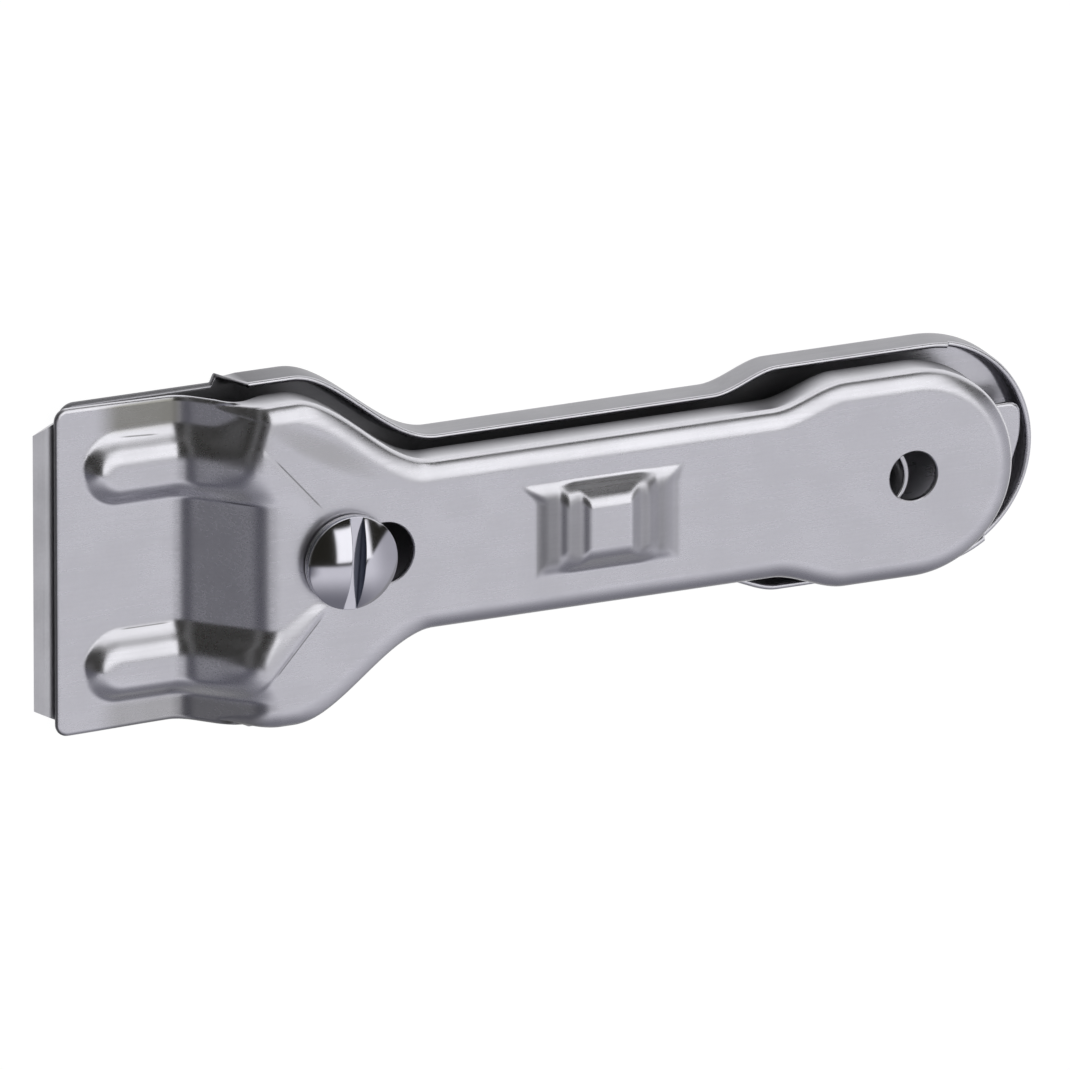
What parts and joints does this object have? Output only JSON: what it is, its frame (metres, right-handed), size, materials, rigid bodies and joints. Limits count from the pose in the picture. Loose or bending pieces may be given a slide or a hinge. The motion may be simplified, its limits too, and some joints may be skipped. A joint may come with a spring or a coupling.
{
  "type": "household scraper",
  "caption": "Stamped steel blade scraper: a sliding cover clamps a wide thin blade against a flat-backed rear shell, held by a slotted screw, with a hanging hole at the handle end.",
  "frame": {"origin": "under the middle of the tool's box, on the plane that its flat back lies on", "axes": "+X from the blade to the hanging end, +Y across the blade, +Z from the flat back up to the screw's head"},
  "size_m": [0.1352, 0.0454, 0.0154],
  "materials": {
    "shell_steel": "fine satin along the handle",
    "blade_steel": "ground, fine lines along the edge",
    "fitting_steel": "turned",
    "screw_chrome": "polished"
  },
  "bodies": {
    "base": {"rear_shell": "shell_steel", "threaded_post": "fitting_steel", "blade_stud_left": "fitting_steel", "blade_stud_right": "fitting_steel", "hang_eyelet": "fitting_steel", "scraper_blade": "blade_steel"},
    "cover": {"sliding_cover": "shell_steel"},
    "washer": {"screw_washer": "fitting_steel"},
    "screw": {"clamp_screw": "screw_chrome"}
  },
  "joints": [
    {"name": "cover_slide", "type": "slide", "parent": "base", "child": "cover", "axis": [-1, 0, 0], "range_m": [0, 0.005]},
    {"name": "washer_lift", "type": "slide", "parent": "base", "child": "washer", "axis": [0, 0, 1], "range_m": [0, 0.0012]},
    {"name": "screw_turn", "type": "hinge", "parent": "washer", "child": "screw", "pos_m": [-0.0296, 0, 0.013], "axis": [0, 0, 1], "range_deg": [0, 540]}
  ],
  "couplings": [
    {"joint": "screw_turn", "follows": "washer_lift", "rad_per_m": 7854}
  ]
}
